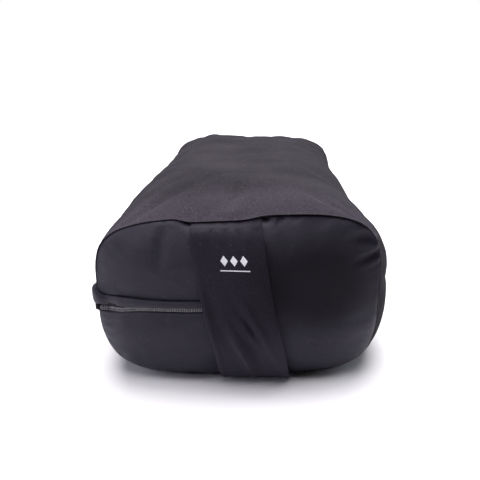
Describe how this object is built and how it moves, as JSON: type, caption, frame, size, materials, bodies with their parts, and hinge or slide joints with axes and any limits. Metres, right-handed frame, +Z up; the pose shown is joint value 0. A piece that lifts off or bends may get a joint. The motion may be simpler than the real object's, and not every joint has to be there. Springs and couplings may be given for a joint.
{
  "type": "yoga bolster",
  "caption": "Firm rectangular yoga bolster in black cotton with domed ends, a flat cloth carrying handle across one end, and a zip under a folded flap along its left side.",
  "frame": {"origin": "on the floor, under the middle of the cushion", "axes": "+Y along the length, away from the handle; +Z up, the shortest way; +X across"},
  "size_m": [0.3176, 0.7098, 0.1846],
  "materials": {
    "cover_cloth": "plain black cotton, matt, a little dusty on top",
    "panel_cloth": "plain black cotton, matt",
    "handle_cloth": "plain black cotton, softly creased",
    "zip_tape": "fine black woven tape, slightly shiny",
    "zip_teeth": "black nylon coil, satin"
  },
  "bodies": {
    "root": {"cushion": "cover_cloth", "near_end_panel": "panel_cloth", "far_end_panel": "panel_cloth", "handle": "handle_cloth", "zip_tape_lower": "zip_tape", "zip_tape_upper": "zip_tape", "zip_coil": "zip_teeth", "zip_flap": "panel_cloth"}
  },
  "joints": []
}
